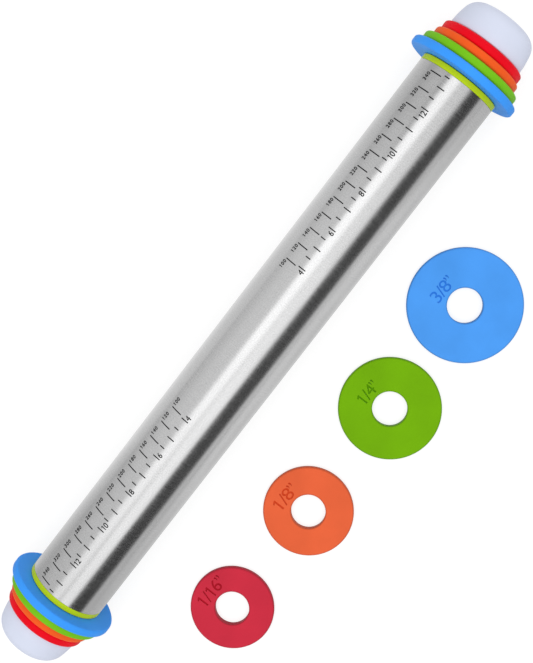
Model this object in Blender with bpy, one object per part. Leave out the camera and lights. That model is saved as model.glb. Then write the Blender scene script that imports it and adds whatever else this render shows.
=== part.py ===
"""Adjustable rolling pin: a steel roller tube, a lime plug in each end, four thickness rings and a screw-on knob at
each end, and one loose ring of each size lying beside the pin.

The pin lies along X on its two largest rings. The loose rings lie flat on the same surface, on the -Y side.
Metres, +Z up, with the origin at the middle of the whole object's base.
"""

import math

import bmesh
import bpy
from mathutils import Matrix, Vector

# Clearance between pieces that touch
FIT_GAP = 0.0003

# Roller tube
TUBE_DIAMETER = 0.0460
TUBE_WALL = 0.0015
TUBE_LENGTH = 0.3470
TUBE_EDGE_CHAMFER = 0.0004

# Thickness rings: each height is the dough's thickness, from the tube's surface to the ring's rim
RING_WIDTH = 0.0047
RING_EDGE_RADIUS = 0.0014
RING_HOLE_DIAMETER = 0.0200
BLUE_HEIGHT = 0.009525
GREEN_HEIGHT = 0.00635
ORANGE_HEIGHT = 0.003175
RED_HEIGHT = 0.0015875

# Loose rings: the middle of each, along the pin from its middle and aside from its axis
BLUE_LOOSE_ALONG = 0.0859
BLUE_LOOSE_ASIDE = 0.0791
GREEN_LOOSE_ALONG = 0.0142
GREEN_LOOSE_ASIDE = 0.0824
ORANGE_LOOSE_ALONG = -0.0619
ORANGE_LOOSE_ASIDE = 0.0828
RED_LOOSE_ALONG = -0.1355
RED_LOOSE_ASIDE = 0.0834

# End plug: a rim that covers the tube's end, a ribbed skirt inside the tube and a blind socket for the screw
PLUG_RIM_WIDTH = 0.0028
PLUG_RIM_CHAMFER = 0.0004
SKIRT_LENGTH = 0.0200
SKIRT_WALL = 0.0018
SKIRT_CLEARANCE = 0.0009
SKIRT_LEAD_IN = 0.0010
CRUSH_RIB_WIDTH = 0.0014
CRUSH_RIB_SETBACK = 0.0030
SOCKET_WALL = 0.0026
SOCKET_FLOOR = 0.0022
SOCKET_RUNOUT = 0.0020
SOCKET_LEAD_IN = 0.0006
PLUG_WEB_THICKNESS = 0.0016
PLUG_WEB_SETBACK = 0.0035

# Screw stem
SCREW_ENGAGEMENT = 0.0160
STEM_CLEARANCE = 0.0003
STEM_WALL = 0.0024
STEM_TIP_CHAMFER = 0.0010

# Knob: its side, corner and dome are arcs that run into each other
KNOB_LENGTH = 0.0177
KNOB_DIAMETER = 0.0446
KNOB_SIDE_RADIUS = 0.0450
KNOB_CORNER_RADIUS = 0.0085
KNOB_DOME_RADIUS = 0.2500
KNOB_BASE_CHAMFER = 0.0006
KNOB_WALL = 0.0024
HUB_WALL = 0.0026
KNOB_RIB_THICKNESS = 0.0016
KNOB_RIB_SETBACK = 0.0025

# Counts
TUBE_SIDES = 48
ROUND_SIDES = 36
CORNER_STEPS = 3
CAVITY_STEPS = 2
SIDE_STEPS = 2
CRUSH_RIBS = 12
PLUG_WEBS = 6
KNOB_RIBS = 6

# A rounding takes at most this share of the wall it sits on, and a rib's root sinks this share into what carries it
MOST_ROUNDING_SHARE = 0.45
ROOT_SHARE = 0.5

SHARP_ANGLE = math.radians(32)
FULL_TURN = math.radians(360)
QUARTER_TURN = math.radians(90)

# Worked out from the sizes above
TUBE_RADIUS = TUBE_DIAMETER / 2
BORE_RADIUS = TUBE_RADIUS - TUBE_WALL
HOLE_RADIUS = RING_HOLE_DIAMETER / 2
STEM_RADIUS = HOLE_RADIUS - STEM_CLEARANCE
SOCKET_RADIUS = STEM_RADIUS + FIT_GAP
HUB_RADIUS = SOCKET_RADIUS + HUB_WALL
RING_PITCH = RING_WIDTH + FIT_GAP
END_FACE_X = TUBE_LENGTH / 2 + FIT_GAP + PLUG_RIM_WIDTH

# Name, height, colour and loose place of each ring, in the order from the plug to the knob
RINGS = (
    ("blue", BLUE_HEIGHT, (0.065, 0.355, 0.930), BLUE_LOOSE_ALONG, BLUE_LOOSE_ASIDE),
    ("green", GREEN_HEIGHT, (0.180, 0.480, 0.012), GREEN_LOOSE_ALONG, GREEN_LOOSE_ASIDE),
    ("orange", ORANGE_HEIGHT, (0.880, 0.120, 0.025), ORANGE_LOOSE_ALONG, ORANGE_LOOSE_ASIDE),
    ("red", RED_HEIGHT, (0.730, 0.005, 0.022), RED_LOOSE_ALONG, RED_LOOSE_ASIDE),
)
STACK_LENGTH = FIT_GAP + len(RINGS) * RING_PITCH

# The pin rests on its largest rings, and the whole object is centred on the origin
PIN_Z = TUBE_RADIUS + max(height for _, height, _, _, _ in RINGS)
LOOSE_REACH = max(aside + TUBE_RADIUS + height for _, height, _, _, aside in RINGS)
PIN_Y = (LOOSE_REACH - PIN_Z) / 2


def clear_scene():
    for old in list(bpy.data.objects):
        bpy.data.objects.remove(old, do_unlink=True)


def material(name, colour, roughness, metallic=0.0):
    made = bpy.data.materials.new(name)
    made.use_nodes = True
    shader = made.node_tree.nodes["Principled BSDF"]
    shader.inputs["Base Color"].default_value = (*colour, 1.0)
    shader.inputs["Roughness"].default_value = roughness
    shader.inputs["Metallic"].default_value = metallic
    made.diffuse_color = (*colour, 1.0)
    return made


def arc(centre, radius, first, last, steps):
    """Points of an arc about (x, r), from angle first to angle last, measured from +r towards +x."""
    points = []
    for step in range(steps + 1):
        angle = first + (last - first) * step / steps
        points.append((centre[0] + radius * math.sin(angle), centre[1] + radius * math.cos(angle)))
    return points


def finish_mesh(bm, name):
    bmesh.ops.recalc_face_normals(bm, faces=bm.faces)
    mesh = bpy.data.meshes.new(name)
    bm.to_mesh(mesh)
    bm.free()
    mesh.shade_smooth()
    mesh.set_sharp_from_angle(angle=SHARP_ANGLE)
    return mesh


def turned(name, outline, sides, closed=True):
    """Spins an outline of (x, r) points about X. A flat facet faces each of +-Y and +-Z, at the outline's radius.

    An outline that isn't closed starts and ends on the axis.
    """
    half_step = FULL_TURN / sides / 2
    spread = 1 / math.cos(half_step)
    bm = bmesh.new()
    verts = [
        bm.verts.new((x, r * spread * math.sin(half_step), r * spread * math.cos(half_step)))
        for x, r in outline
    ]
    for first, second in zip(verts, verts[1:]):
        bm.edges.new((first, second))
    if closed:
        bm.edges.new((verts[-1], verts[0]))
    bmesh.ops.spin(
        bm,
        geom=bm.verts[:] + bm.edges[:],
        cent=(0, 0, 0),
        axis=(1, 0, 0),
        angle=FULL_TURN,
        steps=sides,
        use_merge=True,
    )
    bmesh.ops.remove_doubles(bm, verts=bm.verts, dist=FIT_GAP / 100)
    return finish_mesh(bm, name)


def plates(name, outline, thickness, count):
    """A flat plate with an outline of (x, r) points, repeated evenly about X."""
    bm = bmesh.new()
    for index in range(count):
        turn = Matrix.Rotation(FULL_TURN * index / count, 3, "X")
        side = [bm.verts.new(turn @ Vector((x, -thickness / 2, r))) for x, r in outline]
        face = bm.faces.new(side)
        grown = bmesh.ops.extrude_face_region(bm, geom=[face])
        moved = [item for item in grown["geom"] if isinstance(item, bmesh.types.BMVert)]
        bmesh.ops.translate(bm, verts=moved, vec=turn @ Vector((0, thickness, 0)))
    return finish_mesh(bm, name)


def fused(base, additions):
    """The union of a mesh with others, as one new mesh."""
    whole = bpy.data.objects.new(base.name, base)
    bpy.context.collection.objects.link(whole)
    helpers = []
    for addition in additions:
        helper = bpy.data.objects.new(addition.name, addition)
        bpy.context.collection.objects.link(helper)
        union = whole.modifiers.new(addition.name, "BOOLEAN")
        union.operation = "UNION"
        union.object = helper
        helpers.append(helper)
    evaluated = whole.evaluated_get(bpy.context.evaluated_depsgraph_get())
    mesh = bpy.data.meshes.new_from_object(evaluated)
    mesh.name = base.name
    for helper in helpers + [whole]:
        bpy.data.objects.remove(helper, do_unlink=True)
    mesh.shade_smooth()
    mesh.set_sharp_from_angle(angle=SHARP_ANGLE)
    return mesh


def place(name, mesh, finish, parent=None, location=(0, 0, 0)):
    made = bpy.data.objects.new(name, mesh)
    bpy.context.collection.objects.link(made)
    if finish.name not in mesh.materials:
        mesh.materials.clear()
        mesh.materials.append(finish)
    made.parent = parent
    made.location = location
    return made


def tube_mesh():
    half = TUBE_LENGTH / 2
    chamfer = min(TUBE_EDGE_CHAMFER, TUBE_WALL * MOST_ROUNDING_SHARE)
    outline = [
        (-half, TUBE_RADIUS - chamfer),
        (-half + chamfer, TUBE_RADIUS),
        (half - chamfer, TUBE_RADIUS),
        (half, TUBE_RADIUS - chamfer),
        (half, BORE_RADIUS),
        (-half, BORE_RADIUS),
    ]
    return turned("roller_tube", outline, TUBE_SIDES)


def ring_mesh(name, height):
    """A ring about X, centred on its width, with rounded rims and a plain hole."""
    half = RING_WIDTH / 2
    rim = TUBE_RADIUS + height
    edge = min(RING_EDGE_RADIUS, RING_WIDTH * MOST_ROUNDING_SHARE)
    outline = [(-half, HOLE_RADIUS)]
    outline += arc((edge - half, rim - edge), edge, -QUARTER_TURN, 0, CAVITY_STEPS)
    outline += arc((half - edge, rim - edge), edge, 0, QUARTER_TURN, CAVITY_STEPS)
    outline += [(half, HOLE_RADIUS)]
    return turned(name, outline, ROUND_SIDES)


def plug_mesh():
    """The end plug, with x = 0 at its outer face and the tube on the -x side.

    Its socket takes the whole stem, so the knob also clamps with some or all of the rings taken off.
    """
    seat = -PLUG_RIM_WIDTH
    tail = seat - SKIRT_LENGTH
    skirt = BORE_RADIUS - SKIRT_CLEARANCE
    socket_outer = SOCKET_RADIUS + SOCKET_WALL
    socket_depth = -(SCREW_ENGAGEMENT + STACK_LENGTH + SOCKET_RUNOUT)
    socket_end = socket_depth - SOCKET_FLOOR
    chamfer = min(PLUG_RIM_CHAMFER, PLUG_RIM_WIDTH * MOST_ROUNDING_SHARE)
    outline = [
        (socket_depth, 0),
        (socket_depth, SOCKET_RADIUS),
        (-SOCKET_LEAD_IN, SOCKET_RADIUS),
        (0, SOCKET_RADIUS + SOCKET_LEAD_IN),
        (0, TUBE_RADIUS - chamfer),
        (-chamfer, TUBE_RADIUS),
        (seat, TUBE_RADIUS),
        (seat, skirt),
        (tail + SKIRT_LEAD_IN, skirt),
        (tail, skirt - SKIRT_LEAD_IN * ROOT_SHARE),
        (tail, skirt - SKIRT_WALL),
        (seat, skirt - SKIRT_WALL),
        (seat, socket_outer),
        (socket_end, socket_outer),
        (socket_end, 0),
    ]
    body = turned("end_plug", outline, ROUND_SIDES, closed=False)

    rib_root = skirt - SKIRT_WALL * ROOT_SHARE
    rib_crest = BORE_RADIUS - FIT_GAP
    rib_end = tail + CRUSH_RIB_SETBACK
    crush_ribs = plates(
        "crush_ribs",
        [
            (seat + PLUG_RIM_WIDTH * ROOT_SHARE, rib_root),
            (seat + PLUG_RIM_WIDTH * ROOT_SHARE, rib_crest),
            (rib_end + SKIRT_LEAD_IN, rib_crest),
            (rib_end, rib_root),
        ],
        CRUSH_RIB_WIDTH,
        CRUSH_RIBS,
    )

    web_root = socket_outer - SOCKET_WALL * ROOT_SHARE
    web_tip = skirt - SKIRT_WALL * ROOT_SHARE
    web_end = max(tail, socket_end) + PLUG_WEB_SETBACK
    webs = plates(
        "plug_webs",
        [
            (seat + PLUG_RIM_WIDTH * ROOT_SHARE, web_root),
            (seat + PLUG_RIM_WIDTH * ROOT_SHARE, web_tip),
            (web_end, web_tip),
            (web_end, web_root),
        ],
        PLUG_WEB_THICKNESS,
        PLUG_WEBS,
    )
    return fused(body, [crush_ribs, webs])


def stem_mesh():
    """The hollow screw stem, with x = 0 at the knob's base. It is open at both ends."""
    tip = -(STACK_LENGTH + SCREW_ENGAGEMENT)
    seat = KNOB_LENGTH - KNOB_WALL - FIT_GAP
    chamfer = min(STEM_TIP_CHAMFER, STEM_WALL * MOST_ROUNDING_SHARE)
    outline = [
        (tip, STEM_RADIUS - STEM_WALL),
        (tip, STEM_RADIUS - chamfer),
        (tip + chamfer, STEM_RADIUS),
        (seat, STEM_RADIUS),
        (seat, STEM_RADIUS - STEM_WALL),
    ]
    return turned("screw_stem", outline, ROUND_SIDES)


def knob_outline(inset, corner_steps, end_radius):
    """The knob's side, corner and dome as (x, r) points from its base, moved inwards by inset.

    It ends where it comes down to end_radius, which is 0 on the axis.
    """
    side_r = KNOB_DIAMETER / 2 - KNOB_SIDE_RADIUS
    dome_x = KNOB_LENGTH - KNOB_DOME_RADIUS
    side_reach = KNOB_SIDE_RADIUS - KNOB_CORNER_RADIUS
    dome_reach = KNOB_DOME_RADIUS - KNOB_CORNER_RADIUS
    apart = math.hypot(dome_x, side_r)
    swing = math.acos((side_reach**2 + apart**2 - dome_reach**2) / (2 * side_reach * apart))
    side_tilt = math.atan2(dome_x, -side_r) + swing
    corner_x = side_reach * math.sin(side_tilt)
    corner_r = side_r + side_reach * math.cos(side_tilt)
    dome_tilt = math.atan2(corner_x - dome_x, corner_r)

    side = KNOB_SIDE_RADIUS - inset
    corner = KNOB_CORNER_RADIUS - inset
    dome = KNOB_DOME_RADIUS - inset
    corner_end = min(dome_tilt, math.acos(max(-1, (end_radius - corner_r) / corner)))
    points = arc((0, side_r), side, 0, side_tilt, SIDE_STEPS)[:-1]
    points += arc((corner_x, corner_r), corner, side_tilt, corner_end, corner_steps)
    if corner_end == dome_tilt:
        points.append((dome_x + math.sqrt(dome**2 - end_radius**2), end_radius))
    return points


def knob_mesh():
    """The knob: a cup with its mouth at x = 0, and a hub that holds the screw stem, joined to the wall by ribs."""
    hub_inner = HUB_RADIUS - HUB_WALL
    seat = KNOB_LENGTH - KNOB_WALL
    outer = knob_outline(0, CORNER_STEPS, 0)
    cavity = knob_outline(KNOB_WALL, CAVITY_STEPS, HUB_RADIUS)
    base_radius = outer[0][1]
    outline = outer[:0:-1]
    outline += [(KNOB_BASE_CHAMFER, base_radius), (0, base_radius - KNOB_BASE_CHAMFER)]
    outline += cavity
    outline += [(0, HUB_RADIUS), (0, hub_inner), (seat, hub_inner), (seat, 0)]
    body = turned("knob", outline, ROUND_SIDES, closed=False)

    root = HUB_RADIUS - HUB_WALL * ROOT_SHARE
    rib = knob_outline(KNOB_WALL * ROOT_SHARE, CAVITY_STEPS, root)
    rib[0] = (KNOB_RIB_SETBACK, rib[0][1])
    rib.append((KNOB_RIB_SETBACK, root))
    ribs = plates("knob_ribs", rib, KNOB_RIB_THICKNESS, KNOB_RIBS)
    return fused(body, [ribs])


def main():
    clear_scene()
    steel = material("brushed_steel", (0.560, 0.560, 0.565), 0.28, metallic=1.0)
    lime = material("lime_plastic", (0.480, 0.640, 0.010), 0.40)
    white = material("stem_plastic", (0.800, 0.810, 0.840), 0.45)
    pale = material("knob_plastic", (0.690, 0.730, 0.850), 0.35)

    place("roller_tube", tube_mesh(), steel, location=(0, PIN_Y, PIN_Z))

    plug = plug_mesh()
    stem = stem_mesh()
    knob = knob_mesh()
    rings = []
    for colour_name, height, colour, along, aside in RINGS:
        finish = material(f"{colour_name}_ring_plastic", colour, 0.45)
        mesh = ring_mesh(f"{colour_name}_ring", height)
        rings.append((colour_name, mesh, finish))
        loose = place(f"{colour_name}_ring_loose", mesh, finish, location=(along, PIN_Y - aside, RING_WIDTH / 2))
        loose.rotation_euler = (0, QUARTER_TURN, 0)

    for end_name, facing in (("right", 1), ("left", -1)):
        end = bpy.data.objects.new(f"{end_name}_end", None)
        bpy.context.collection.objects.link(end)
        end.location = (facing * END_FACE_X, PIN_Y, PIN_Z)
        end.rotation_euler = (0, 0, 0 if facing > 0 else FULL_TURN / 2)
        place(f"end_plug_{end_name}", plug, lime, parent=end)
        for index, (colour_name, mesh, finish) in enumerate(rings):
            middle = FIT_GAP + index * RING_PITCH + RING_WIDTH / 2
            place(f"{colour_name}_ring_{end_name}", mesh, finish, parent=end, location=(middle, 0, 0))
        place(f"knob_{end_name}", knob, pale, parent=end, location=(STACK_LENGTH, 0, 0))
        place(f"screw_stem_{end_name}", stem, white, parent=end, location=(STACK_LENGTH, 0, 0))


main()
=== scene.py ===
"""Looks of the adjustable rolling pin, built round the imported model.

It adds the finish of every piece, the printed scale, the recessed fractions, the screw threads, the light and
the camera. Metres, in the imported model's own frame. The pin lies along X and everything stands on z = 0.
"""

import math

import bmesh
import bpy
from mathutils import Matrix, Vector


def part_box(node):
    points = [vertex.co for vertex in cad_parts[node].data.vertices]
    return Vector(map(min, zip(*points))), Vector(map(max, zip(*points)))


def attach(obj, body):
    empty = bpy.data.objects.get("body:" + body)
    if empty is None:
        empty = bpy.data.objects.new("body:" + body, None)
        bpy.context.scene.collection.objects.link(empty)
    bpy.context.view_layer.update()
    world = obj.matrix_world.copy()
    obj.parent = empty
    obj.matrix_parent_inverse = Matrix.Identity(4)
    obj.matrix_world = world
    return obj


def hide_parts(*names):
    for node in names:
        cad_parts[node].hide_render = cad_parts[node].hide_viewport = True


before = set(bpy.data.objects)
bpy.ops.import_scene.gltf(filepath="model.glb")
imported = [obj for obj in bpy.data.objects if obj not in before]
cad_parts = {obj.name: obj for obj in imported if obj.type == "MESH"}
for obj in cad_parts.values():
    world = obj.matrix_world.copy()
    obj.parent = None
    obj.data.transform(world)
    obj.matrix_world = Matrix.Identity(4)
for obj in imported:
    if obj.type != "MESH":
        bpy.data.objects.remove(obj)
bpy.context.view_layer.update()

FULL_TURN = 2 * math.pi
QUARTER_TURN = math.pi / 2

# Main sizes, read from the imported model
tube_low, tube_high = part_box("roller_tube")
plug_low, plug_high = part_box("end_plug_right")
knob_low, knob_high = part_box("knob_right")
stem_low, stem_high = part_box("screw_stem_right")
AXIS_Y = (tube_low.y + tube_high.y) / 2
AXIS_Z = (tube_low.z + tube_high.z) / 2
TUBE_RADIUS = tube_high.z - AXIS_Z
TUBE_HALF = tube_high.x
END_X = plug_high.x
KNOB_BASE = knob_low.x - END_X
KNOB_TIP = knob_high.x - END_X
KNOB_RADIUS = knob_high.z - AXIS_Z
STEM_TIP = stem_low.x - END_X
STEM_SEAT = stem_high.x - END_X
STEM_RADIUS = stem_high.z - AXIS_Z
PLUG_TAIL = plug_low.x - END_X
RIM_SEAT = TUBE_HALF - END_X

# Small and hidden forms, which the model's boxes don't give
FIT_GAP = 0.0003
TUBE_WALL = 0.0015
TUBE_EDGE = 0.0002
RING_HOLE_RADIUS = 0.0100
RING_EDGE_RADIUS = 0.0014
RING_HOLE_EDGE = 0.0003
RIM_EDGE = 0.0005
SKIRT_LENGTH = 0.0200
SKIRT_WALL = 0.0018
SKIRT_CLEARANCE = 0.0009
SKIRT_LEAD_IN = 0.0010
CRUSH_RIBS = 12
CRUSH_RIB_WIDTH = 0.0014
CRUSH_RIB_SETBACK = 0.0030
SOCKET_WALL = 0.0026
SOCKET_FLOOR = 0.0022
SOCKET_LEAD_IN = 0.0006
PLUG_WEBS = 6
PLUG_WEB_THICKNESS = 0.0016
PLUG_WEB_SETBACK = 0.0035
STEM_WALL = 0.0024
STEM_CHAMFER = 0.0010
KNOB_SIDE_RADIUS = 0.0450
KNOB_CORNER_RADIUS = 0.0085
KNOB_DOME_RADIUS = 0.2500
KNOB_BASE_EDGE = 0.0006
KNOB_WALL = 0.0024
HUB_WALL = 0.0026
KNOB_RIBS = 6
KNOB_RIB_THICKNESS = 0.0016
KNOB_RIB_SETBACK = 0.0025
HUB_RADIUS = STEM_RADIUS + FIT_GAP + HUB_WALL
ROOT_SHARE = 0.5

# Screw thread: right-handed, and cut alike in the stem and in the plug's socket
THREAD_PITCH = 0.0040
THREAD_DEPTH = 0.0008
THREAD_LENGTH = 0.0180
THREAD_STEP = 0.00025
THREAD_FADE = 0.0020
CREST_SHARE = 0.16
FLANK_SHARE = 0.16

# Noise textures: their detail and roughness, and the middle part of their range, where most values lie
PLAIN_DETAIL = 2.0
FINE_DETAIL = 3.0
NOISE_ROUGHNESS = 0.5
NOISE_SPAN = (0.3, 0.7)

# Steel: the scales of its noises along the tube and round it, their shares and spans, and what they change
STEEL_RING_SCALES = (1900.0, 150.0)
STEEL_GRAIN_SCALES = (1500.0, 1300.0)
STEEL_CLOUD_SCALES = (45.0, 70.0)
STEEL_RING_NOISE_ROUGHNESS = 0.6
STEEL_RING_SHARE = 0.40
STEEL_GRAIN_SHARE = 0.60
STEEL_TINTS = ((0.508, 0.508, 0.511), (0.657, 0.657, 0.659))
STEEL_ROUGHNESSES = (0.175, 0.255)
STEEL_CLOUD_SPAN = (0.35, 0.65)
STEEL_CLOUD_CHANGE = 0.015
STEEL_BUMP_STRENGTH = 0.65
STEEL_BUMP_DISTANCE = 0.00003

# Plastics: noise scales, how far tint and roughness vary, the bump, and what is usual where none is given
PLASTIC_CLOUD_SCALE = 55.0
PLASTIC_GRAIN_SCALE = 2600.0
PLASTIC_COARSE_SCALE = 300.0
PLASTIC_VARIATION = 0.05
PLASTIC_GLOSS = 0.5
PLASTIC_ROUGHNESS_CHANGE = 0.04
PLASTIC_BUMP_STRENGTH = 0.12
PLASTIC_BUMP_DISTANCE = 0.00004
SHEEN_ROUGHNESS = 0.6
LIME_PLASTIC = {"colour": (0.555, 0.715, 0.006), "rough": 0.45, "gloss": 0.25}
STEM_PLASTIC = {"colour": (0.800, 0.810, 0.840), "rough": 0.42}
KNOB_PLASTIC = {"colour": (0.675, 0.715, 0.850), "rough": 0.42, "vary": 0.02, "gloss": 0.12, "sheen": 0.35}

# Ink: its noise, where it is worn, its tints and its roughnesses
INK_NOISE_SCALE = 900.0
INK_WEAR_SPAN = (0.45, 0.75)
INK_TINTS = ((0.004, 0.004, 0.005), (0.022, 0.022, 0.023))
INK_ROUGHNESSES = (0.50, 0.65)
INK_GLOSS = 0.2

# Rings: their low gloss, how much painted shade darkens their colour in a recess, and how far in from a loose
# # ring's rim and hole painted shade darkens its colour, and how much
RING_GLOSS = 0.12
RING_ROUGHNESS = 0.50
RECESS_GLOSS = RING_GLOSS / 2
RECESS_ROUGHNESS = 0.60
RECESS_SHADE_POWER = 1.25
RECESS_SHADE_SHARE = 0.88
SHADED_EDGE_REACH = 0.0009
EDGE_SHADE_SHARE = 0.68

# How finely round forms are cut
ROUND_SIDES = 180
THREAD_SIDES = 120
CORNER_STEPS = 8
SIDE_STEPS = 6
SMOOTH_ANGLE = math.radians(30)

# Printed scale: a number's two marks, one in each half, are that far apart. Marks are counted in millimetres
# and in half inches, and heights round the tube are angles from the top towards +Y
MILLIMETRE = 0.001
HALF_INCH = 0.0254 / 2
MM_MARKS = range(100, 341, 20)
HALF_INCH_MARKS = range(8, 28)
HALF_INCHES_PER_LABEL = 4
MARK_WIDTH = 0.00062
PRINT_SHIFT = -0.00035
MM_MARK_ANGLES = (22.0, 40.4)
INCH_LONG_ANGLES = (7.0, 18.4)
INCH_SHORT_ANGLES = (11.2, 18.7)
MM_LABEL_BASE_ANGLE = 37.2
INCH_LABEL_BASE_ANGLE = 6.8
INK_RISE = 0.00002
INK_SINK = 0.00006
WRAP_STEP = 0.0006

# Lettering, in the built-in font's own units: how far each character reaches, and how much one is narrowed
ADVANCES = {"/": 0.281, "\u201d": 0.427}
DRAWN_IN = {"\u201d": 0.74}
DIGIT_ADVANCE = 0.500
DIGIT_HEIGHT = 0.691
DIGIT_WIDTH = 0.440
WELD_DISTANCE = 0.0005
GLYPH_HALF_DEPTH = 0.5
CURVE_STEPS = 4

# Two digits are drawn here: their corners as (x, y) and how far boldness moves each one in x and y, and their
# faces
CLOSING = 0.35
ONE_CORNERS = (
    (0.21, 0.0, -1, 0),
    (0.30, 0.0, 1, 0),
    (0.30, 0.69, 1, 0),
    (0.235, 0.69, 0, 0),
    (0.10, 0.60, -1, 0),
    (0.10, 0.51, -1, -1),
    (0.21, 0.575, -1, -1),
)
FOUR_CORNERS = (
    (0.011, 0.224, -1, -1),
    (0.300, 0.224, -1, -1),
    (0.300, 0.0, -1, -1),
    (0.398, 0.0, 1, -1),
    (0.398, 0.224, 1, -1),
    (0.471, 0.224, 1, -1),
    (0.471, 0.312, 1, 1),
    (0.398, 0.312, 1, 1),
    (0.398, 0.691, 1, 1),
    (0.356, 0.691, -1, 1),
    (0.011, 0.269, -1, 1),
    (0.142, 0.312, CLOSING, CLOSING),
    (0.300, 0.506, -CLOSING, -CLOSING),
    (0.300, 0.312, -CLOSING, CLOSING),
)
DRAWN_DIGITS = {
    "1": (ONE_CORNERS, ((0, 1, 2, 3, 4, 5, 6),)),
    "4": (FOUR_CORNERS, ((0, 1, 2, 3, 4, 5, 6, 7, 8, 12, 13, 11, 10), (8, 9, 10, 11, 12))),
}

# Scale numbers: the digits' pitch, width and height, their boldness, and the gap to the mark in each half
MM_LABEL = (0.00165, 0.00122, 0.0023, 0.036, {1: 0.00100, -1: 0.00105})
INCH_LABEL = (0.00185, 0.00180, 0.0032, 0.018, {1: 0.00105, -1: 0.00105})

# Recessed fractions: the text, its two ends across the hole's middle and the digit height
FRACTIONS = {
    "blue": ("3/8\u201d", -0.0079, 0.0073, 0.0071),
    "green": ("1/4\u201d", -0.0068, 0.0068, 0.0068),
    "orange": ("1/8\u201d", -0.0093, 0.0070, 0.0072),
    "red": ("1/16\u201d", -0.0091, 0.0105, 0.0074),
}
FRACTION_BASELINE = 0.0121
FRACTION_DEPTH = 0.00050
FRACTION_BOLDNESS = 0.0
FRACTION_WIDENING = 1.16

# Camera: its place and the point on the floor that it looks at, within half a millimetre of straight over and
# under the pin's axis, then its roll and its lens
CAMERA_PLACE = Vector((0.09427, AXIS_Y + 0.00025, AXIS_Z + 0.60231))
CAMERA_AIM = Vector((0.00552, AXIS_Y - 0.00041, 0.0))
CAMERA_UP_ANGLE = math.radians(37.43)
CAMERA_LENS = 60.98
SENSOR_SIZE = 36.0


def node(tree, kind, inputs=(), **settings):
    """Adds a node. settings are its properties, and inputs are linked or set from {name or index: value}."""
    made = tree.nodes.new(kind)
    for name, value in settings.items():
        setattr(made, name, value)
    for key, value in dict(inputs).items():
        if isinstance(value, bpy.types.NodeSocket):
            tree.links.new(value, made.inputs[key])
        else:
            made.inputs[key].default_value = value
    return made


def maths(tree, operation, *values):
    return node(tree, "ShaderNodeMath", enumerate(values), operation=operation).outputs[0]


def mapped(tree, value, from_low, from_high, to_low, to_high, smooth=False):
    """A value carried from one range to another, and held at its ends."""
    inputs = {
        "Value": value,
        "From Min": from_low,
        "From Max": from_high,
        "To Min": to_low,
        "To Max": to_high,
    }
    kind = "SMOOTHSTEP" if smooth else "LINEAR"
    return node(tree, "ShaderNodeMapRange", inputs, interpolation_type=kind).outputs["Result"]


def mixed_value(tree, factor, first, second):
    return node(tree, "ShaderNodeMix", {0: factor, 2: first, 3: second}).outputs[0]


def noise(tree, vector, scale, detail=PLAIN_DETAIL, roughness=NOISE_ROUGHNESS):
    inputs = {"Vector": vector, "Scale": scale, "Detail": detail, "Roughness": roughness}
    return node(tree, "ShaderNodeTexNoise", inputs).outputs["Fac"]


def mixed(tree, factor, first, second):
    """Two colours, each a socket or three numbers, mixed by a factor."""
    made = node(tree, "ShaderNodeMix", {"Factor": factor}, data_type="RGBA")
    for index, colour in ((6, first), (7, second)):
        if isinstance(colour, bpy.types.NodeSocket):
            tree.links.new(colour, made.inputs[index])
        else:
            made.inputs[index].default_value = (*colour, 1.0)
    return made.outputs[2]


def new_material(name):
    made = bpy.data.materials.new(name)
    made.use_nodes = True
    tree = made.node_tree
    return made, tree, tree.nodes["Principled BSDF"]


def round_coordinates(tree):
    """Distance along the piece's X axis, distance round it on the tube's surface, and distance from it."""
    place = node(tree, "ShaderNodeTexCoord").outputs["Object"]
    split = node(tree, "ShaderNodeSeparateXYZ", {0: place})
    turn = maths(tree, "ARCTAN2", split.outputs["Y"], split.outputs["Z"])
    square_y = maths(tree, "MULTIPLY", split.outputs["Y"], split.outputs["Y"])
    square_z = maths(tree, "MULTIPLY", split.outputs["Z"], split.outputs["Z"])
    radius = maths(tree, "SQRT", maths(tree, "ADD", square_y, square_z))
    return split.outputs["X"], maths(tree, "MULTIPLY", turn, TUBE_RADIUS), radius


def stretched(tree, along, around, along_scale, around_scale):
    """A coordinate that a noise texture reads with its own scale along the pin and round it."""
    inputs = {
        "X": maths(tree, "MULTIPLY", along, along_scale),
        "Y": maths(tree, "MULTIPLY", around, around_scale),
    }
    return node(tree, "ShaderNodeCombineXYZ", inputs).outputs[0]


def add_bump(tree, shader, strength, distance, height):
    bump = node(tree, "ShaderNodeBump", {"Strength": strength, "Distance": distance, "Height": height})
    tree.links.new(bump.outputs["Normal"], shader.inputs["Normal"])


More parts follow.
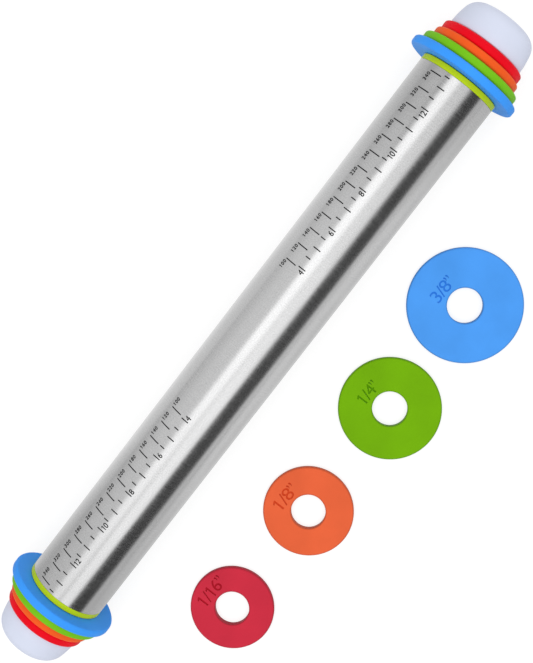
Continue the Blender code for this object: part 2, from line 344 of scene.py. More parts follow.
def steel_material():
    """Satin steel, polished round the tube: fine rings, an even grain and a faint cloud in its gloss."""
    made, tree, shader = new_material("satin_steel")
    along, around, _ = round_coordinates(tree)
    ring_place = stretched(tree, along, around, *STEEL_RING_SCALES)
    cloud_place = stretched(tree, along, around, *STEEL_CLOUD_SCALES)
    grain_place = stretched(tree, along, around, *STEEL_GRAIN_SCALES)
    rings = noise(tree, ring_place, 1.0, FINE_DETAIL, STEEL_RING_NOISE_ROUGHNESS)
    cloud = noise(tree, cloud_place, 1.0, FINE_DETAIL)
    grain = noise(tree, grain_place, 1.0)
    ring_part = maths(tree, "MULTIPLY", rings, STEEL_RING_SHARE)
    grain_part = maths(tree, "MULTIPLY", grain, STEEL_GRAIN_SHARE)
    blend = maths(tree, "ADD", ring_part, grain_part)
    tint = mixed(tree, mapped(tree, blend, *NOISE_SPAN, 0.0, 1.0), *STEEL_TINTS)
    tree.links.new(tint, shader.inputs["Base Color"])
    shader.inputs["Metallic"].default_value = 1.0
    base = mapped(tree, rings, *NOISE_SPAN, *STEEL_ROUGHNESSES)
    change = mapped(tree, cloud, *STEEL_CLOUD_SPAN, -STEEL_CLOUD_CHANGE, STEEL_CLOUD_CHANGE)
    tree.links.new(maths(tree, "ADD", base, change), shader.inputs["Roughness"])
    add_bump(tree, shader, STEEL_BUMP_STRENGTH, STEEL_BUMP_DISTANCE, blend)
    return made


def plastic_material(name, colour, rough, vary=PLASTIC_VARIATION, gloss=PLASTIC_GLOSS, sheen=0.0, rim=None):
    """Moulded plastic with a cloudy tint and fine moulding grain. gloss is the specular level.

    sheen is the milky glow that a pale, slightly clear plastic has along its outline. rim is a ring's outer
    radius: with it, painted shade darkens the colour close to the rim and the hole, as on the photograph's
    loose rings.
    """
    made, tree, shader = new_material(name)
    place = node(tree, "ShaderNodeTexCoord").outputs["Object"]
    cloud = mapped(tree, noise(tree, place, PLASTIC_CLOUD_SCALE, FINE_DETAIL), *NOISE_SPAN, 0.0, 1.0)
    grain = noise(tree, place, PLASTIC_GRAIN_SCALE)
    low = tuple(channel * (1 - vary) for channel in colour)
    high = tuple(min(1.0, channel * (1 + vary)) for channel in colour)
    tint = mixed(tree, cloud, low, high)
    # Painted shade: a loose ring's colour darkens towards its rim and its hole
    if rim:
        radius = round_coordinates(tree)[2]
        outer = mapped(tree, radius, rim - SHADED_EDGE_REACH, rim, 0.0, 1.0)
        inner = mapped(tree, radius, RING_HOLE_RADIUS, RING_HOLE_RADIUS + SHADED_EDGE_REACH, 1.0, 0.0)
        shaded_tint = tuple(EDGE_SHADE_SHARE * channel for channel in colour)
        tint = mixed(tree, maths(tree, "MAXIMUM", outer, inner), tint, shaded_tint)
    change = PLASTIC_ROUGHNESS_CHANGE
    roughness = mapped(tree, grain, *NOISE_SPAN, rough - change, rough + change)
    tree.links.new(tint, shader.inputs["Base Color"])
    tree.links.new(roughness, shader.inputs["Roughness"])
    height = maths(tree, "ADD", grain, noise(tree, place, PLASTIC_COARSE_SCALE))
    add_bump(tree, shader, PLASTIC_BUMP_STRENGTH, PLASTIC_BUMP_DISTANCE, height)
    shader.inputs["Specular IOR Level"].default_value = gloss
    shader.inputs["Sheen Weight"].default_value = sheen
    shader.inputs["Sheen Roughness"].default_value = SHEEN_ROUGHNESS
    shader.inputs["Sheen Tint"].default_value = (*colour, 1.0)
    return made


def ink_material():
    """The scale's dark print, worn a little paler in places."""
    made, tree, shader = new_material("scale_ink")
    place = node(tree, "ShaderNodeTexCoord").outputs["Object"]
    worn = noise(tree, place, INK_NOISE_SCALE, FINE_DETAIL)
    tint = mixed(tree, mapped(tree, worn, *INK_WEAR_SPAN, 0.0, 1.0), *INK_TINTS)
    tree.links.new(tint, shader.inputs["Base Color"])
    tree.links.new(mapped(tree, worn, *NOISE_SPAN, *INK_ROUGHNESSES), shader.inputs["Roughness"])
    shader.inputs["Specular IOR Level"].default_value = INK_GLOSS
    return made


def finish_mesh(bm, name):
    bmesh.ops.recalc_face_normals(bm, faces=bm.faces)
    mesh = bpy.data.meshes.new(name)
    bm.to_mesh(mesh)
    bm.free()
    return mesh


def turned(name, outline, sides=ROUND_SIDES, closed=True, relief=None):
    """Turns an outline of (x, r) points about X. One that isn't closed starts and ends on the axis.

    relief(x, r, angle) may change a point's radius, which cuts a thread.
    """
    bm = bmesh.new()
    loops = []
    for x, r in outline:
        if r == 0:
            loops.append([bm.verts.new((x, 0, 0))] * sides)
            continue
        loop = []
        for side in range(sides):
            angle = FULL_TURN * side / sides
            reach = relief(x, r, angle) if relief else r
            loop.append(bm.verts.new((x, -reach * math.sin(angle), reach * math.cos(angle))))
        loops.append(loop)
    followers = loops[1:] + ([loops[0]] if closed else [])
    for first, second in zip(loops, followers):
        for side in range(sides):
            after = (side + 1) % sides
            corners = dict.fromkeys((first[side], first[after], second[after], second[side]))
            if len(corners) > 2:
                bm.faces.new(corners)
    return finish_mesh(bm, name)


def arc(centre, radius, first, last, steps=CORNER_STEPS):
    """Points of an arc about (x, r), from angle first to angle last, measured from +r towards +x."""
    points = []
    for step in range(steps + 1):
        angle = first + (last - first) * step / steps
        points.append((centre[0] + radius * math.sin(angle), centre[1] + radius * math.cos(angle)))
    return points


def plates(name, outline, thickness, count):
    """A flat plate with an outline of (x, r) points, repeated evenly about X."""
    bm = bmesh.new()
    for index in range(count):
        turn = Matrix.Rotation(FULL_TURN * index / count, 3, "X")
        side = [bm.verts.new(turn @ Vector((x, -thickness / 2, r))) for x, r in outline]
        grown = bmesh.ops.extrude_face_region(bm, geom=[bm.faces.new(side)])
        moved = [item for item in grown["geom"] if isinstance(item, bmesh.types.BMVert)]
        bmesh.ops.translate(bm, verts=moved, vec=turn @ Vector((0, thickness, 0)))
    return finish_mesh(bm, name)


def combined(base, others, operation):
    """A mesh joined with others, or cut by them, as one new mesh."""
    whole = bpy.data.objects.new(base.name, base)
    bpy.context.collection.objects.link(whole)
    helpers = []
    for other in others:
        helper = bpy.data.objects.new(other.name, other)
        bpy.context.collection.objects.link(helper)
        step = whole.modifiers.new(other.name, "BOOLEAN")
        step.operation = operation
        step.object = helper
        step.use_self = True
        step.material_mode = "TRANSFER"
        helpers.append(helper)
    evaluated = whole.evaluated_get(bpy.context.evaluated_depsgraph_get())
    mesh = bpy.data.meshes.new_from_object(evaluated)
    mesh.name = base.name
    for helper in helpers + [whole]:
        bpy.data.objects.remove(helper, do_unlink=True)
    return mesh


def smoothed(mesh, *materials):
    """Gives a mesh its materials, and shades it smooth between its sharp edges."""
    if materials:
        mesh.materials.clear()
    for material in materials:
        mesh.materials.append(material)
    mesh.shade_smooth()
    mesh.set_sharp_from_angle(angle=SMOOTH_ANGLE)
    return mesh


def ridge(share):
    """1 on a thread's crest and 0 at its root, at a share of a turn from the crest's middle."""
    away = abs((share + 0.5) % 1.0 - 0.5)
    rise = min(1.0, max(0.0, (CREST_SHARE + FLANK_SHARE - away) / FLANK_SHARE))
    return rise * rise * (3 - 2 * rise)


def faded(x, low, high):
    """1 between low and high, falling to 0 close to each."""
    inside = min(x - low, high - x) / THREAD_FADE
    return min(1.0, max(0.0, inside))


def stem_relief(x, r, angle):
    if r < STEM_RADIUS - STEM_CHAMFER:
        return r
    groove = 1 - ridge(x / THREAD_PITCH - angle / FULL_TURN)
    return r - THREAD_DEPTH * groove * faded(x, STEM_TIP - THREAD_FADE, STEM_TIP + THREAD_LENGTH)


def socket_relief(x, r, angle):
    if abs(r - STEM_RADIUS - FIT_GAP) > FIT_GAP / 2:
        return r
    raised = ridge(x / THREAD_PITCH - angle / FULL_TURN + 0.5)
    return r - (THREAD_DEPTH - FIT_GAP) * raised * faded(x, PLUG_TAIL + SOCKET_FLOOR, 0)


def tube_mesh():
    bore = TUBE_RADIUS - TUBE_WALL
    outline = [
        (-TUBE_HALF, TUBE_RADIUS - TUBE_EDGE),
        (-TUBE_HALF + TUBE_EDGE, TUBE_RADIUS),
        (TUBE_HALF - TUBE_EDGE, TUBE_RADIUS),
        (TUBE_HALF, TUBE_RADIUS - TUBE_EDGE),
        (TUBE_HALF, bore),
        (-TUBE_HALF, bore),
    ]
    return turned("steel_tube", outline)


def ring_mesh(name, rim, half):
    """A ring about X, centred on its width, with rounded rims and softened hole edges."""
    edge = RING_EDGE_RADIUS
    hole = RING_HOLE_RADIUS
    soft = RING_HOLE_EDGE
    outline = [(-half + soft, hole), (-half, hole + soft)]
    outline += arc((edge - half, rim - edge), edge, -QUARTER_TURN, 0)
    outline += arc((half - edge, rim - edge), edge, 0, QUARTER_TURN)
    outline += [(half, hole + soft), (half - soft, hole)]
    return turned(name, outline)


def plug_mesh():
    """The end plug, with x = 0 at its outer face and the tube on the -x side."""
    skirt = TUBE_RADIUS - TUBE_WALL - SKIRT_CLEARANCE
    tail = RIM_SEAT - SKIRT_LENGTH
    socket = STEM_RADIUS + FIT_GAP
    wall = socket + SOCKET_WALL
    depth = PLUG_TAIL + SOCKET_FLOOR
    steps = round((-SOCKET_LEAD_IN - depth) / THREAD_STEP)
    outline = [(depth, 0)]
    outline += [(depth + (-SOCKET_LEAD_IN - depth) * step / steps, socket) for step in range(steps + 1)]
    outline += [(0, socket + SOCKET_LEAD_IN)]
    outline += arc((-RIM_EDGE, TUBE_RADIUS - RIM_EDGE), RIM_EDGE, QUARTER_TURN, 0)
    outline += [
        (RIM_SEAT, TUBE_RADIUS),
        (RIM_SEAT, skirt),
        (tail + SKIRT_LEAD_IN, skirt),
        (tail, skirt - SKIRT_LEAD_IN * ROOT_SHARE),
        (tail, skirt - SKIRT_WALL),
        (RIM_SEAT, skirt - SKIRT_WALL),
        (RIM_SEAT, wall),
        (PLUG_TAIL, wall),
        (PLUG_TAIL, 0),
    ]
    body = turned("end_plug", outline, THREAD_SIDES, closed=False, relief=socket_relief)

    root = RIM_SEAT * (1 - ROOT_SHARE)
    crest = TUBE_RADIUS - TUBE_WALL - FIT_GAP
    under = skirt - SKIRT_WALL * ROOT_SHARE
    end = tail + CRUSH_RIB_SETBACK
    rib = [(root, under), (root, crest), (end + SKIRT_LEAD_IN, crest), (end, under)]
    crush_ribs = plates("crush_ribs", rib, CRUSH_RIB_WIDTH, CRUSH_RIBS)

    inner = wall - SOCKET_WALL * ROOT_SHARE
    end = max(tail, PLUG_TAIL) + PLUG_WEB_SETBACK
    web = [(root, inner), (root, under), (end, under), (end, inner)]
    webs = plates("plug_webs", web, PLUG_WEB_THICKNESS, PLUG_WEBS)
    return combined(body, [crush_ribs, webs], "UNION")


def stem_mesh():
    """The hollow screw stem, threaded at its tip. It is open at both ends."""
    bore = STEM_RADIUS - STEM_WALL
    steps = round((THREAD_LENGTH - STEM_CHAMFER) / THREAD_STEP)
    outline = [(STEM_TIP, bore), (STEM_TIP, STEM_RADIUS - STEM_CHAMFER)]
    for step in range(steps + 1):
        along = (THREAD_LENGTH - STEM_CHAMFER) * step / steps
        outline.append((STEM_TIP + STEM_CHAMFER + along, STEM_RADIUS))
    outline += [(STEM_SEAT, STEM_RADIUS), (STEM_SEAT, bore)]
    return turned("screw_stem", outline, THREAD_SIDES, relief=stem_relief)


def knob_outline(inset, end_radius):
    """The knob's side, corner and dome as (x, r) points from its base, moved inwards by inset.

    The three are arcs that run into each other. They end where they come down to end_radius.
    """
    side_r = KNOB_RADIUS - KNOB_SIDE_RADIUS
    dome_x = KNOB_TIP - KNOB_DOME_RADIUS
    side_reach = KNOB_SIDE_RADIUS - KNOB_CORNER_RADIUS
    dome_reach = KNOB_DOME_RADIUS - KNOB_CORNER_RADIUS
    run = dome_x - KNOB_BASE
    apart = math.hypot(run, side_r)
    swing = math.acos((side_reach**2 + apart**2 - dome_reach**2) / (2 * side_reach * apart))
    side_tilt = math.atan2(run, -side_r) + swing
    corner_x = KNOB_BASE + side_reach * math.sin(side_tilt)
    corner_r = side_r + side_reach * math.cos(side_tilt)
    dome_tilt = math.atan2(corner_x - dome_x, corner_r)

    side = KNOB_SIDE_RADIUS - inset
    corner = KNOB_CORNER_RADIUS - inset
    dome = KNOB_DOME_RADIUS - inset
    corner_end = min(dome_tilt, math.acos(max(-1, (end_radius - corner_r) / corner)))
    points = arc((KNOB_BASE, side_r), side, 0, side_tilt, SIDE_STEPS)[:-1]
    points += arc((corner_x, corner_r), corner, side_tilt, corner_end, 2 * CORNER_STEPS)
    if corner_end == dome_tilt:
        start_r = points[-1][1]
        for step in range(1, SIDE_STEPS + 1):
            r = end_radius + (start_r - end_radius) * (1 - step / SIDE_STEPS)
            points.append((dome_x + math.sqrt(dome**2 - r**2), r))
    return points


def knob_mesh():
    """The knob: a cup with a hub that holds the stem, joined to its wall by ribs."""
    seat = KNOB_TIP - KNOB_WALL
    hub_inner = HUB_RADIUS - HUB_WALL
    outer = knob_outline(0, 0)
    base_r = outer[0][1]
    outline = outer[:0:-1]
    outline += arc((KNOB_BASE + KNOB_BASE_EDGE, base_r - KNOB_BASE_EDGE), KNOB_BASE_EDGE, 0, -QUARTER_TURN)
    outline += knob_outline(KNOB_WALL, HUB_RADIUS)
    outline += [(KNOB_BASE, HUB_RADIUS), (KNOB_BASE, hub_inner), (seat, hub_inner), (seat, 0)]
    body = turned("knob_cap", outline, closed=False)

    root = HUB_RADIUS - HUB_WALL * ROOT_SHARE
    start = KNOB_BASE + KNOB_RIB_SETBACK
    rib = [point for point in knob_outline(KNOB_WALL * ROOT_SHARE, root) if point[0] > start]
    rib = [(start, rib[0][1]), *rib, (start, root)]
    return combined(body, [plates("knob_ribs", rib, KNOB_RIB_THICKNESS, KNOB_RIBS)], "UNION")


def glyph(character, boldness):
    """A character as a closed prism one unit deep, in the built-in font's own units."""
    bm = bmesh.new()
    if character in DRAWN_DIGITS:
        corners, faces = DRAWN_DIGITS[character]
        verts = []
        for x, y, wide, tall in corners:
            verts.append(bm.verts.new((x + boldness * wide, y + boldness * tall, -GLYPH_HALF_DEPTH)))
        drawn = [bm.faces.new([verts[index] for index in face]) for face in faces]
        grown = bmesh.ops.extrude_face_region(bm, geom=drawn)
        moved = [item for item in grown["geom"] if isinstance(item, bmesh.types.BMVert)]
        bmesh.ops.translate(bm, verts=moved, vec=(0, 0, 2 * GLYPH_HALF_DEPTH))
        return finish_mesh(bm, "glyph")
    curve = bpy.data.curves.new("glyph", "FONT")
    curve.body = character
    curve.size = 1.0
    curve.extrude = GLYPH_HALF_DEPTH
    curve.offset = boldness
    curve.resolution_u = CURVE_STEPS
    holder = bpy.data.objects.new("glyph", curve)
    bpy.context.collection.objects.link(holder)
    evaluated = holder.evaluated_get(bpy.context.evaluated_depsgraph_get())
    bm.from_mesh(bpy.data.meshes.new_from_object(evaluated))
    bpy.data.objects.remove(holder, do_unlink=True)
    bmesh.ops.remove_doubles(bm, verts=bm.verts, dist=WELD_DISTANCE)
    return finish_mesh(bm, "glyph")


def word_mesh(text, cell_scale, wide_scale, tall_scale, low, high, boldness):
    """Text as closed prisms: x from its first cell's left edge, y from its baseline, and z from low to high.

    cell_scale sets the characters' pitch, and wide_scale and tall_scale their own size.
    """
    bm = bmesh.new()
    along = 0.0
    for character in text:
        middle = ADVANCES.get(character, DIGIT_ADVANCE) / 2
        drawn_in = DRAWN_IN.get(character, 1)
        mesh = glyph(character, boldness)
        size = Matrix.Diagonal((wide_scale * drawn_in, tall_scale, high - low, 1))
        shift = Matrix.Translation(((along + middle * drawn_in) * cell_scale, 0, (low + high) / 2))
        mesh.transform(shift @ size @ Matrix.Translation((-middle, 0, 0)))
        bm.from_mesh(mesh)
        along += 2 * middle * drawn_in
    return finish_mesh(bm, "word")


def marked_ring(name, colour, rim, half, plastic, recess):
    """A ring with its fraction recessed into its +x face, upright along +y."""
    text, left, right, height = FRACTIONS[colour]
    tall = height / DIGIT_HEIGHT
    word = word_mesh(text, 1.0, FRACTION_WIDENING, tall, -FRACTION_DEPTH, FRACTION_DEPTH, FRACTION_BOLDNESS)
    first = min(vert.co.x for vert in word.vertices)
    last = max(vert.co.x for vert in word.vertices)
    wide = (right - left) / (last - first)
    across = (-wide, 0, 0, wide * first - left)
    facing = Matrix(((0, 0, 1, half), (0, 1, 0, FRACTION_BASELINE), across, (0, 0, 0, 1)))
    word.transform(facing)
    word.materials.append(recess)
    ring = ring_mesh(name, rim, half)
    ring.materials.append(plastic)
    return smoothed(combined(ring, [word], "DIFFERENCE"))


def arc_length(degrees):
    return math.radians(degrees) * TUBE_RADIUS


def add_mark(bm, x, angles):
    first, last = (arc_length(angle) for angle in angles)
    size = (MARK_WIDTH, last - first, INK_RISE + INK_SINK)
    middle = (x, (first + last) / 2, (INK_RISE - INK_SINK) / 2)
    bmesh.ops.create_cube(bm, size=1.0, matrix=Matrix.LocRotScale(middle, None, size))


def add_number(bm, text, x, side, base_angle, layout):
    """A number beside its mark, on the side of the pin's middle."""
    pitch, width, height, boldness, gaps = layout
    sizes = (pitch / DIGIT_ADVANCE, width / DIGIT_WIDTH, height / DIGIT_HEIGHT)
    word = word_mesh(text, *sizes, -INK_SINK, INK_RISE, boldness)
    start = x + gaps[side] if side < 0 else x - gaps[side] - pitch * len(text)
    word.transform(Matrix.Translation((start, arc_length(base_angle), 0)))
    bm.from_mesh(word)


def scale_mesh():
    """The printed scale: marks and numbers as thin prisms, laid flat and then wrapped on the tube."""
    bm = bmesh.new()
    for side in (-1, 1):
        for value in MM_MARKS:
            x = side * value * MILLIMETRE / 2
            add_mark(bm, x, MM_MARK_ANGLES)
            add_number(bm, str(value), x, side, MM_LABEL_BASE_ANGLE, MM_LABEL)
        for halves in HALF_INCH_MARKS:
            x = side * halves * HALF_INCH / 2
            add_mark(bm, x, INCH_SHORT_ANGLES if halves % 2 else INCH_LONG_ANGLES)
            if halves % HALF_INCHES_PER_LABEL == 0:
                add_number(bm, str(halves // 2), x, side, INCH_LABEL_BASE_ANGLE, INCH_LABEL)

    low = min(vert.co.y for vert in bm.verts)
    high = max(vert.co.y for vert in bm.verts)
    for step in range(1, math.ceil((high - low) / WRAP_STEP)):
        geometry = bm.verts[:] + bm.edges[:] + bm.faces[:]
        cut = (0, low + step * WRAP_STEP, 0)
        bmesh.ops.bisect_plane(bm, geom=geometry, plane_co=cut, plane_no=(0, 1, 0))
    for vert in bm.verts:
        x, along, height = vert.co
        reach = TUBE_RADIUS + height
        vert.co = (x, reach * math.sin(along / TUBE_RADIUS), reach * math.cos(along / TUBE_RADIUS))
    return finish_mesh(bm, "scale_print")


def place(name, mesh, matrix, body, slot=None, replaced=()):
    """Adds a piece at its place, on the body that it rides on, and hides the model's nodes that it replaces.
    """
    made = bpy.data.objects.new(name, mesh)
    bpy.context.collection.objects.link(made)
    made.matrix_world = matrix
    weighted = made.modifiers.new("flat_faces_stay_flat", "WEIGHTED_NORMAL")
    weighted.keep_sharp = True
    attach(made, body)
    if replaced:
        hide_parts(*replaced)
    return made


# The rings' tints on the pin, and those of the loose set: the same plastic, a shade duller through painted
# shade and a pale painted reflection
RING_TINTS = {
    "blue": ((0.045, 0.325, 0.975), (0.072, 0.322, 0.860)),
    "green": ((0.190, 0.560, 0.011), (0.160, 0.405, 0.001)),
    "orange": ((0.935, 0.114, 0.016), (0.768, 0.124, 0.043)),
    "red": ((0.830, 0.002, 0.013), (0.570, 0.025, 0.051)),
}


def ring_materials(name, tint, rim=None):
    """A ring's plastic, and a copy darkened by painted shade for the recessed fraction."""
    # Painted shade: a darker, deeper copy of the ring's colour for the recess
    shaded_tint = tuple(RECESS_SHADE_SHARE * channel**RECESS_SHADE_POWER for channel in tint)
    face = plastic_material(f"{name}_plastic", tint, RING_ROUGHNESS, gloss=RING_GLOSS, rim=rim)
    recess = plastic_material(f"{name}_recess", shaded_tint, RECESS_ROUGHNESS, gloss=RECESS_GLOSS)
    return face, recess


def build_rings():
    """A mesh for each ring size, as the pin's rings and as the loose ones."""
    worn = {}
    loose = {}
    for colour, (tint, loose_shaded_tint) in RING_TINTS.items():
        low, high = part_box(f"{colour}_ring_right")
        rim = (high.z - low.z) / 2
        half = (high.x - low.x) / 2
        worn[colour] = marked_ring(f"ring_{colour}", colour, rim, half, *ring_materials(colour, tint))
        loose[colour] = worn[colour].copy()
        for index, material in enumerate(ring_materials(f"{colour}_loose", loose_shaded_tint, rim)):
            loose[colour].materials[index] = material
    return worn, loose


def build_pin(rings):
    """The pin itself. As in the photograph, the tube mirrors none of the rings, here or beside it."""
    axis = Matrix.Translation((0, AXIS_Y, AXIS_Z))
    tube = smoothed(tube_mesh(), steel_material())
    place("steel_tube", tube, axis, "roller", "steel_tube", ["roller_tube"])
    printed = axis @ Matrix.Translation((PRINT_SHIFT, 0, 0))
    place("scale_print", smoothed(scale_mesh(), ink_material()), printed, "roller")

    plug = smoothed(plug_mesh(), plastic_material("lime_plastic", **LIME_PLASTIC))
    stem = smoothed(stem_mesh(), plastic_material("stem_plastic", **STEM_PLASTIC))
    knob = smoothed(knob_mesh(), plastic_material("knob_plastic", **KNOB_PLASTIC))
    for end, facing in (("right", 1), ("left", -1)):
        turned_end = Matrix.Rotation(0 if facing > 0 else math.pi, 4, "Z")
        ground = Matrix.Translation((facing * END_X, AXIS_Y, AXIS_Z)) @ turned_end
        place(f"plug_{end}", plug, ground, "roller", "lime_plug", [f"end_plug_{end}"])
        knob_body = f"knob_{end}_body"
        place(f"knob_cap_{end}", knob, ground, knob_body, "pale_knob", [f"knob_{end}"])
        place(f"stem_{end}", stem, ground, knob_body, "white_stem", [f"screw_stem_{end}"])
        for colour, mesh in rings.items():
            node_name = f"{colour}_ring_{end}"
            low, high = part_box(node_name)
            matrix = Matrix.Translation(((low.x + high.x) / 2, AXIS_Y, AXIS_Z)) @ turned_end
            body = f"{node_name}_body"
            ring = place(f"ring_{colour}_{end}", mesh, matrix, body, f"{colour}_ring", [node_name])
            ring.visible_glossy = False


def build_loose_rings(rings):
    """The loose rings lie with their fractions up."""
    for colour, mesh in rings.items():
        node_name = f"{colour}_ring_loose"
        low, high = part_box(node_name)
        matrix = Matrix.Translation((low + high) / 2) @ Matrix.Rotation(-QUARTER_TURN, 4, "Y")
        body = f"{colour}_loose_body"
        loose = place(f"ring_{colour}_loose", mesh, matrix, body, f"{colour}_ring", [node_name])
        loose.visible_glossy = False


# Reflected room: angles are degrees about the pin's axis from straight up, towards -Y, and a band's place is
# its middle, half-width and soft edge. Levels are radiances. Pairs are for reflections to the left and to the
# right, but the horizon's are for the +Y side and the -Y side
LEFT_RIGHT = (-0.41, 0.12)
RIGHT_PART = (-0.03, 0.12)
ROOM_LEVEL = 0.94
HORIZON_ANGLES = ((-90.0, -50.0), (50.0, 90.0))
HORIZON_LEVELS = (0.75, 0.83)
STRIP_PLACE = (-9.0, 13.3, 3.5)
STRIP_LEVELS = (0.65, 0.95)
PANEL_PLACE = (22.0, 17.0, 6.0)
PANEL_LEVELS = (0.79, 0.16)
FLAG_STARTS = (35.2, 39.2)
FLAG_START_SOFTS = (2.0, 7.5)
FLAG_ENDS = (77.6, 76.4)
FLAG_END_SOFT = 3.0
FLAG_LEVEL = 0.09
SEAM_PLACE = (3.0, 3.5, 4.5)
SEAM_DEPTHS = (0.34, 0.03)
EDGE_PLACE = (-31.0, 3.5, 4.0)
EDGE_DEPTHS = (0.0, 0.42)
FAR_PLACE = (-62.0, 34.0, 6.0)
FAR_DEPTHS = (0.0, 0.13)
FALLOFF_CENTRE = -0.12
FALLOFF_STRENGTH = 2.45
FALLOFF_LEAST = 0.6

# Sky, floor and lamp
SKY_LEVELS = (0.40, 1.05)
SKY_REACH = (0.35, 0.95)
WHITE_LEVEL = 1.0
FLOOR_SIZE = 8.0
FLOOR_ALBEDO = 0.75
FLOOR_SHADOW_SHARE = 0.29
FLOOR_GLOWS = (0.72, 1.0)
FLOOR_GLOW_REACH = (0.7, 2.2)
FLOOR_MIRROR_SHARE = 0.05
# Floor's glow in reflections across the pin; its dip close to the axis is a painted shadow of the pin
GLOSSY_GLOW_AND_SHADOW_STOPS = (
    (-0.3, 0.87),
    (-0.14, 0.86),
    (-0.06, 0.77),
    (0, 0.75),
    (0.044, 0.97),
    (0.08, 0.87),
    (0.14, 0.81),
)
NEW_STOP_PLACE = 0.5
# Painted shade: reflections of the floor darken far along the pin
GLOSSY_REACH = (0.10, 0.25)
GLOSSY_SHADE_FALLOFF = 0.66
LAMP_HEIGHT = 1.4
LAMP_SIZE = 1.6
LAMP_POWER = 14.4


def band(tree, angle, middle, half, soft):
    """1 within a band of angles and 0 outside it, with soft edges."""
    away = maths(tree, "ABSOLUTE", maths(tree, "SUBTRACT", angle, middle))
    low = maths(tree, "SUBTRACT", half, soft)
    high = maths(tree, "ADD", half, soft)
    return mapped(tree, away, low, high, 1.0, 0.0, smooth=True)


def build_world():
    """A pale room for reflections, with a strip light, a wide panel and a black flag along the pin.

    Other light comes from a softer sky, brighter towards the pin's two ends, and the camera sees plain white.
    """
    world = bpy.data.worlds.new("studio")
    bpy.context.scene.world = world
    world.use_nodes = True
    world.cycles.sampling_method = "NONE"
    tree = world.node_tree
    background = tree.nodes["Background"]
    direction = node(tree, "ShaderNodeTexCoord").outputs["Generated"]
    split = node(tree, "ShaderNodeSeparateXYZ", {0: direction})
    sideways = maths(tree, "MULTIPLY", split.outputs["Y"], -1.0)
    angle = maths(tree, "DEGREES", maths(tree, "ARCTAN2", sideways, split.outputs["Z"]))
    along = split.outputs["X"]

    def times(level, share):
        return maths(tree, "MULTIPLY", level, share)

    def past(edge, soft):
        low = maths(tree, "SUBTRACT", edge, soft)
        high = maths(tree, "ADD", edge, soft)
        return mapped(tree, angle, low, high, 0.0, 1.0, smooth=True)

    def shaded(level, band_place, reach, depths):
        depth = mapped(tree, along, *reach, *depths)
        return times(level, maths(tree, "SUBTRACT", 1.0, times(band(tree, angle, *band_place), depth)))

    beyond = mapped(tree, angle, *HORIZON_ANGLES[0], HORIZON_LEVELS[0], ROOM_LEVEL, smooth=True)
    nearer = mapped(tree, angle, *HORIZON_ANGLES[1], ROOM_LEVEL, HORIZON_LEVELS[1], smooth=True)
    level = maths(tree, "MINIMUM", beyond, nearer)
    level = shaded(level, FAR_PLACE, RIGHT_PART, FAR_DEPTHS)
    level = shaded(level, EDGE_PLACE, RIGHT_PART, EDGE_DEPTHS)
    for lamp_place, levels in ((STRIP_PLACE, STRIP_LEVELS), (PANEL_PLACE, PANEL_LEVELS)):
        strength = mapped(tree, along, *LEFT_RIGHT, *levels)
        level = maths(tree, "ADD", level, times(band(tree, angle, *lamp_place), strength))
    level = shaded(level, SEAM_PLACE, LEFT_RIGHT, SEAM_DEPTHS)
    flag_start = mapped(tree, along, *LEFT_RIGHT, *FLAG_STARTS)
    started = past(flag_start, mapped(tree, along, *LEFT_RIGHT, *FLAG_START_SOFTS))
    ended = past(mapped(tree, along, *LEFT_RIGHT, *FLAG_ENDS), FLAG_END_SOFT)
    flag = maths(tree, "SUBTRACT", started, ended)
    level = times(level, mapped(tree, flag, 0.0, 1.0, 1.0, FLAG_LEVEL))
    offset = maths(tree, "SUBTRACT", along, FALLOFF_CENTRE)
    loss = times(times(offset, offset), FALLOFF_STRENGTH)
    level = times(level, maths(tree, "MAXIMUM", maths(tree, "SUBTRACT", 1.0, loss), FALLOFF_LEAST))

    path = node(tree, "ShaderNodeLightPath")
    seen = maths(tree, "MAXIMUM", path.outputs["Is Camera Ray"], path.outputs["Is Transmission Ray"])
    sky = mapped(tree, maths(tree, "ABSOLUTE", along), *SKY_REACH, *SKY_LEVELS, smooth=True)
    plain = mixed_value(tree, seen, sky, WHITE_LEVEL)
    gap = maths(tree, "SUBTRACT", level, plain)
    strength = maths(tree, "ADD", plain, times(gap, path.outputs["Is Glossy Ray"]))
    tree.links.new(strength, background.inputs["Strength"])
    background.inputs["Color"].default_value = (1.0, 1.0, 1.0, 1.0)


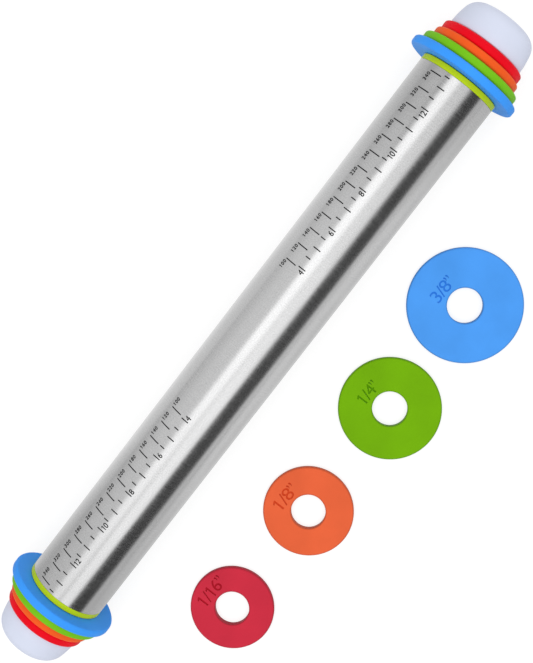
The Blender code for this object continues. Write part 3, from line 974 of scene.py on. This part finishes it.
def build_floor():
    """A white floor that keeps the soft shadow.

    It glows more where the lamp fades, so that no horizon shows. Reflections show it darker far along the
    pin, which is painted shade, and close to its axis, which is a painted shadow of the pin.
    """
    bm = bmesh.new()
    bmesh.ops.create_grid(bm, size=FLOOR_SIZE / 2)
    mesh = finish_mesh(bm, "floor")
    made, tree, shader = new_material("floor")
    tree.nodes.remove(shader)
    path = node(tree, "ShaderNodeLightPath")
    glossy = path.outputs["Is Glossy Ray"]
    seen = maths(tree, "MAXIMUM", path.outputs["Is Camera Ray"], path.outputs["Is Transmission Ray"])
    shown = maths(tree, "MAXIMUM", seen, glossy)
    shares = maths(tree, "ADD", maths(tree, "MULTIPLY", seen, FLOOR_SHADOW_SHARE), FLOOR_MIRROR_SHARE)
    albedo = mixed_value(tree, shown, FLOOR_ALBEDO, shares)

    spot = node(tree, "ShaderNodeTexCoord").outputs["Object"]
    split = node(tree, "ShaderNodeSeparateXYZ", {0: spot})
    away = node(tree, "ShaderNodeVectorMath", {0: spot}, operation="LENGTH").outputs["Value"]
    aside = maths(tree, "SUBTRACT", split.outputs["Y"], AXIS_Y)
    first, last = GLOSSY_GLOW_AND_SHADOW_STOPS[0][0], GLOSSY_GLOW_AND_SHADOW_STOPS[-1][0]
    ramp = node(tree, "ShaderNodeValToRGB", {0: mapped(tree, aside, first, last, 0.0, 1.0)})
    stops = ramp.color_ramp.elements
    while len(stops) < len(GLOSSY_GLOW_AND_SHADOW_STOPS):
        stops.new(NEW_STOP_PLACE)
    for stop, (place_y, level) in zip(stops, GLOSSY_GLOW_AND_SHADOW_STOPS):
        stop.position = (place_y - first) / (last - first)
        stop.color = (level, level, level, 1.0)
    reach = maths(tree, "ABSOLUTE", split.outputs["X"])
    falloff = mapped(tree, reach, *GLOSSY_REACH, 1.0, GLOSSY_SHADE_FALLOFF)
    mirrored_with_painted_shade = maths(tree, "MULTIPLY", ramp.outputs[0], falloff)
    glow = maths(tree, "MULTIPLY", seen, mapped(tree, away, *FLOOR_GLOW_REACH, *FLOOR_GLOWS, smooth=True))
    glow = maths(tree, "ADD", glow, maths(tree, "MULTIPLY", glossy, mirrored_with_painted_shade))
    diffuse = node(tree, "ShaderNodeBsdfDiffuse", {"Color": albedo})
    light = node(tree, "ShaderNodeEmission", {"Strength": glow})
    both = node(tree, "ShaderNodeAddShader", {0: diffuse.outputs[0], 1: light.outputs[0]})
    tree.links.new(both.outputs[0], tree.nodes["Material Output"].inputs["Surface"])
    made.cycles.emission_sampling = "NONE"
    mesh.materials.append(made)
    floor = bpy.data.objects.new("floor", mesh)
    bpy.context.collection.objects.link(floor)


def build_lamp():
    """One wide soft lamp overhead. Reflections show the room's own panels instead."""
    data = bpy.data.lights.new("overhead", "AREA")
    data.shape = "SQUARE"
    data.size = LAMP_SIZE
    data.energy = LAMP_POWER
    lamp = bpy.data.objects.new("overhead", data)
    lamp.location = (0, 0, LAMP_HEIGHT)
    lamp.visible_camera = False
    lamp.visible_glossy = False
    lamp.visible_transmission = False
    bpy.context.collection.objects.link(lamp)


def build_camera():
    data = bpy.data.cameras.new("camera")
    data.lens = CAMERA_LENS
    data.sensor_width = SENSOR_SIZE
    camera = bpy.data.objects.new("camera", data)
    bpy.context.collection.objects.link(camera)
    forward = (CAMERA_AIM - CAMERA_PLACE).normalized()
    upward = Vector((math.cos(CAMERA_UP_ANGLE), math.sin(CAMERA_UP_ANGLE), 0))
    right = forward.cross(upward).normalized()
    upward = right.cross(forward)
    turn = Matrix((right, upward, -forward)).transposed()
    camera.matrix_world = Matrix.Translation(CAMERA_PLACE) @ turn.to_4x4()
    bpy.context.scene.camera = camera


build_camera()
build_world()
build_floor()
build_lamp()
pin_rings, loose_rings = build_rings()
build_pin(pin_rings)
build_loose_rings(loose_rings)
bpy.context.scene.view_settings.view_transform = "Standard"
